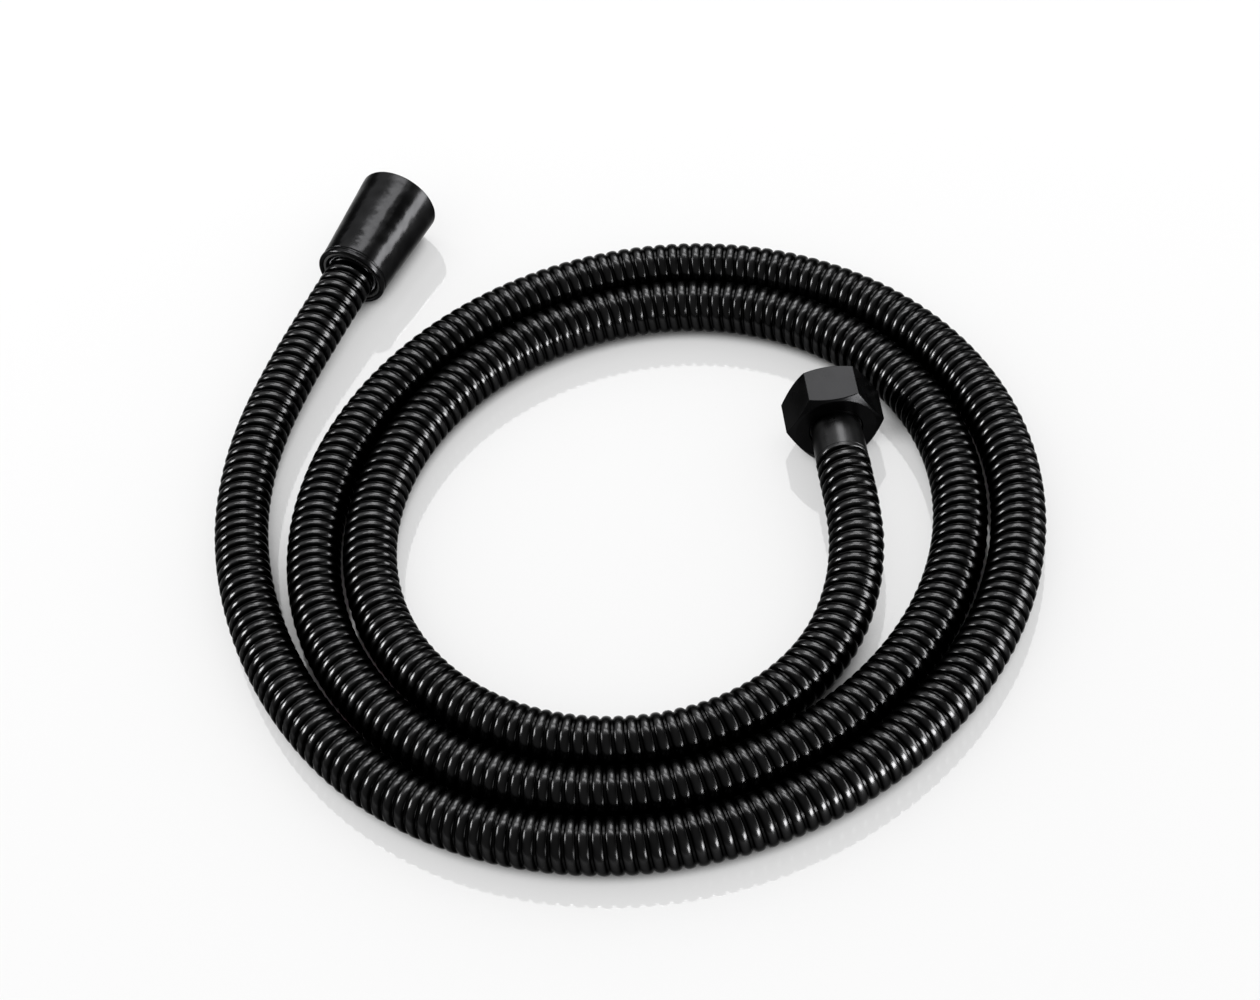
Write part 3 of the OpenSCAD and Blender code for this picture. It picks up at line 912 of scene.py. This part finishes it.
class HOSE_OT_hex_nut(bpy.types.Operator):
    """Cut the hexagon nut with its chamfers and thread"""
    bl_idname = "hose.hex_nut"
    bl_label = "Hexagon nut"

    def execute(self, context):
        nut = make_hex_nut(context.scene.nut_sizes)
        # painted shade: the hexagon nut gets a darker copy of the coat that both nuts share, to dim
        # the light its top flat reflects
        dress(nut, nut_coat(context.scene.hose_finishes, "black_hexagon_coat", 0.28, (110, 0.3),
                            painted_shade_tone=0.68))
        carry(nut, "hex_nut", "nut_coating", "hex_nut")
        return {"FINISHED"}


class HOSE_OT_cone_nut(bpy.types.Operator):
    """Turn the cone nut with its lip and thread"""
    bl_idname = "hose.cone_nut"
    bl_label = "Cone nut"

    def execute(self, context):
        nut = make_cone_nut(context.scene.nut_sizes)
        dress(nut, nut_coat(context.scene.hose_finishes, "black_cone_coat", 0.2, (170, 0.6)))
        carry(nut, "cone_nut", "nut_coating", "cone_nut")
        return {"FINISHED"}


class HOSE_OT_collar(bpy.types.Operator):
    """Turn the collar that is crimped over the armour"""
    bl_idname = "hose.collar"
    bl_label = "Collar"

    def execute(self, context):
        collar = make_collar(context.scene.nut_sizes)
        dress(collar, coat("black_collar_coat", context.scene.hose_finishes.collar, 1.3, 0.3,
                           wave=(140, 0.1), grain=(1500, 0.1), metallic=1.0, edge=0.5))
        carry(collar, "hose", "collar_coating", "hex_ferrule")
        return {"FINISHED"}


class HOSE_OT_bush(bpy.types.Operator):
    """Turn the plastic bush in the cone nut's rear mouth"""
    bl_idname = "hose.bush"
    bl_label = "Rear bush"

    def execute(self, context):
        bush = make_bush(context.scene.nut_sizes)
        dress(bush, coat("black_bush_plastic", context.scene.hose_finishes.bush, 1.4, 0.5,
                         grain=(2200, 0.2)))
        carry(bush, "cone_nut", "bush_plastic", "cone_rear_bush")
        return {"FINISHED"}


class HOSE_OT_washers(bpy.types.Operator):
    """Mould the two rubber sealing washers"""
    bl_idname = "hose.washers"
    bl_label = "Sealing washers"

    def execute(self, context):
        sizes = context.scene.nut_sizes
        rubber = coat("seal_rubber", context.scene.hose_finishes.seal, 1.6, 0.62,
                      grain=(2600, 0.25))
        for name, start, place, body, node in (
                ("hex_seal_washer", 15.7 * MM, hex_place(), "hose", "hex_washer"),
                ("cone_seal_washer", 19.6 * MM, cone_place(), "swivel", "cone_washer")):
            washer = make_washer(name, start, place, sizes)
            dress(washer, rubber)
            carry(washer, body, "seal_rubber", node)
        for node in ("swivel_o_ring_front", "swivel_o_ring_rear"):
            dress_node(node, rubber)
        return {"FINISHED"}


class HOSE_OT_fittings(bpy.types.Operator):
    """Finish the cores, bands and rings inside the two ends"""
    bl_idname = "hose.fittings"
    bl_label = "Inside fittings"

    def execute(self, context):
        finishes = context.scene.hose_finishes
        brass = coat("machined_brass", finishes.brass, 1.2, 0.28, wave=(300, 0.05),
                     grain=(4000, 0.15), metallic=1.0)
        steel = coat("stainless_steel", finishes.steel, 1.15, 0.3, wave=(300, 0.05),
                     grain=(4000, 0.15), metallic=1.0)
        plastic = coat("white_slip_plastic", finishes.slip, 1.05, 0.45, grain=(2500, 0.1))
        for node in ("hex_core", "cone_core", "swivel_spigot"):
            dress_node(node, brass)
        for node in ("hex_tube_clamp", "cone_tube_clamp", "cone_ferrule", "swivel_snap_ring"):
            dress_node(node, steel)
        for node in ("hex_slip_ring", "cone_slip_ring", "swivel_thrust_washer"):
            dress_node(node, plastic)
        return {"FINISHED"}


class HOSE_OT_declare_hose(bpy.types.Operator):
    """Work out the path of the armour along the centreline, from the hexagon end back to the cone
    end, without stating or keeping it
    """
    bl_idname = "hose.declare_hose"
    bl_label = "Length of the hose"

    def execute(self, context):
        line = hose_line()
        path = list(reversed(part_of_line(line, *armour_span(line))))
        return {"FINISHED"}


def add_panel(name, azimuth, elevation, distance, wide, high, radiance):
    """A soft light seen from the coil in that direction, so many degrees wide and high

    The azimuth runs from the back to the right. It only shows in gloss: the white room gives
    the even light."""
    turned = radians(azimuth)
    raised = radians(elevation)
    direction = Vector((sin(turned) * cos(raised), cos(turned) * cos(raised), sin(raised)))
    width = 2 * distance * tan(radians(wide / 2))
    height = 2 * distance * tan(radians(high / 2))
    deselect()
    bpy.ops.object.light_add(type="AREA", location=direction * distance)
    light = bpy.context.object
    light.name = name
    light.rotation_mode = "QUATERNION"
    light.rotation_quaternion = direction.to_track_quat("Z", "Y")
    light.data.shape = "RECTANGLE"
    light.data.size = width
    light.data.size_y = height
    light.data.energy = radiance * width * height * pi
    light.visible_camera = False
    light.visible_diffuse = False
    return light


def share_lights(table, soft_lights, table_light):
    """Keeps the soft lights' glare off the table top, and the table's own light off the hose"""
    for name, state, lights in (("off_the_table", "EXCLUDE", soft_lights),
                                ("only_the_table", "INCLUDE", [table_light])):
        receivers = bpy.data.collections.new(name)
        receivers.objects.link(table)
        receivers.collection_objects[0].light_linking.link_state = state
        for light in lights:
            light.light_linking.receiver_collection = receivers


def table_material(table_glow):
    """Glossy white that glows by itself, with painted shade: the glow fades out in narrow gaps
    beside the hose, where shade falls
    """
    material, nodes, links = new_material("glossy_white_top")
    shader = nodes["Principled BSDF"]
    shader.inputs["Base Color"].default_value = (0.46, 0.46, 0.46, 1)
    shader.inputs["Roughness"].default_value = 0.05
    shader.inputs["IOR"].default_value = 1.5
    shader.inputs["Specular IOR Level"].default_value = 0.6
    shader.inputs["Emission Color"].default_value = (1, 1, 1, 1)
    # painted shade: ambient occlusion turns the table's own glow down in the narrow gaps between
    # the strands
    painted_gap_shade = nodes.new("ShaderNodeAmbientOcclusion")
    painted_gap_shade.inputs["Distance"].default_value = 12 * MM
    glow = nodes.new("ShaderNodeMapRange")
    glow.inputs["From Min"].default_value = 0.2
    glow.inputs["From Max"].default_value = 0.45
    glow.inputs["To Max"].default_value = table_glow
    links.new(painted_gap_shade.outputs["AO"], glow.inputs["Value"])
    links.new(glow.outputs["Result"], shader.inputs["Emission Strength"])
    return material


def white_room(ambient, in_gloss):
    """A world that looks white, and that lights dull and glossy surfaces by different shares"""
    world = bpy.data.worlds.new("white_room")
    world.use_nodes = True
    nodes = world.node_tree.nodes
    links = world.node_tree.links
    background = nodes["Background"]
    background.inputs["Color"].default_value = (1, 1, 1, 1)
    rays = nodes.new("ShaderNodeLightPath")
    strength = nodes.new("ShaderNodeMapRange")
    strength.inputs["To Min"].default_value = ambient
    strength.inputs["To Max"].default_value = in_gloss
    links.new(rays.outputs["Is Glossy Ray"], strength.inputs["Value"])
    seen = nodes.new("ShaderNodeMix")
    seen.inputs["B"].default_value = 1
    links.new(rays.outputs["Is Camera Ray"], seen.inputs["Factor"])
    links.new(strength.outputs["Result"], seen.inputs["A"])
    links.new(seen.outputs["Result"], background.inputs["Strength"])
    return world


class HOSE_OT_stage(bpy.types.Operator):
    """Lay the glossy white table top and set up the soft lights round it"""
    bl_idname = "hose.stage"
    bl_label = "Table and lights"

    def execute(self, context):
        settings = context.scene.stage_settings
        deselect()
        bpy.ops.mesh.primitive_plane_add(size=settings.table_size, location=(0, 0, 0))
        table = context.object
        table.name = "table_top"
        dress(table, table_material(settings.table_glow))
        share_lights(table, [
            add_panel("back_wide_panel", 2, 52, 3, 84, 52, 2.5),
            add_panel("back_strip", 14, 43, 2.8, 20, 22, 18),
            add_panel("top_strip", 14, 66, 2.6, 44, 9, 21),
            add_panel("left_panel", -74, 27, 2, 21, 16, 80),
            add_panel("right_panel", 86, 10.5, 2, 38, 24, 34),
            add_panel("front_panel", 132, 8.5, 2, 36, 20, 80),
        ], add_panel("ceiling_panel", 0, 90, 3, 164, 164, 2.5))

        context.scene.world = white_room(settings.ambient, settings.gloss)
        context.scene.view_settings.view_transform = "Standard"
        context.scene.view_settings.look = "None"
        return {"FINISHED"}


class HOSE_PT_panel(bpy.types.Panel):
    """Lists the steps that make the hose"""
    bl_label = "Shower Hose"
    bl_idname = "HOSE_PT_panel"
    bl_space_type = "VIEW_3D"
    bl_region_type = "UI"
    bl_category = "Hose"

    def draw(self, context):
        for operator in OPERATORS:
            self.layout.operator(operator.bl_idname, text=operator.bl_label)


GROUPS = {"hose_sizes": HoseSizes, "nut_sizes": NutSizes, "hose_finishes": HoseFinishes,
          "stage_settings": StageSettings}
OPERATORS = [HOSE_OT_camera, HOSE_OT_armour, HOSE_OT_inner_tube, HOSE_OT_hex_nut,
             HOSE_OT_cone_nut, HOSE_OT_collar, HOSE_OT_bush, HOSE_OT_washers,
             HOSE_OT_fittings, HOSE_OT_declare_hose, HOSE_OT_stage]


def register():
    for made in list(GROUPS.values()) + OPERATORS + [HOSE_PT_panel]:
        bpy.utils.register_class(made)
    for name, group in GROUPS.items():
        setattr(bpy.types.Scene, name, PointerProperty(type=group))


def unregister():
    for name in GROUPS:
        delattr(bpy.types.Scene, name)
    for made in [HOSE_PT_panel] + list(reversed(OPERATORS)) + list(reversed(GROUPS.values())):
        bpy.utils.unregister_class(made)


def main():
    register()
    for operator in OPERATORS:
        getattr(bpy.ops.hose, operator.bl_idname.split(".")[1])()


if __name__ == "__main__":
    main()
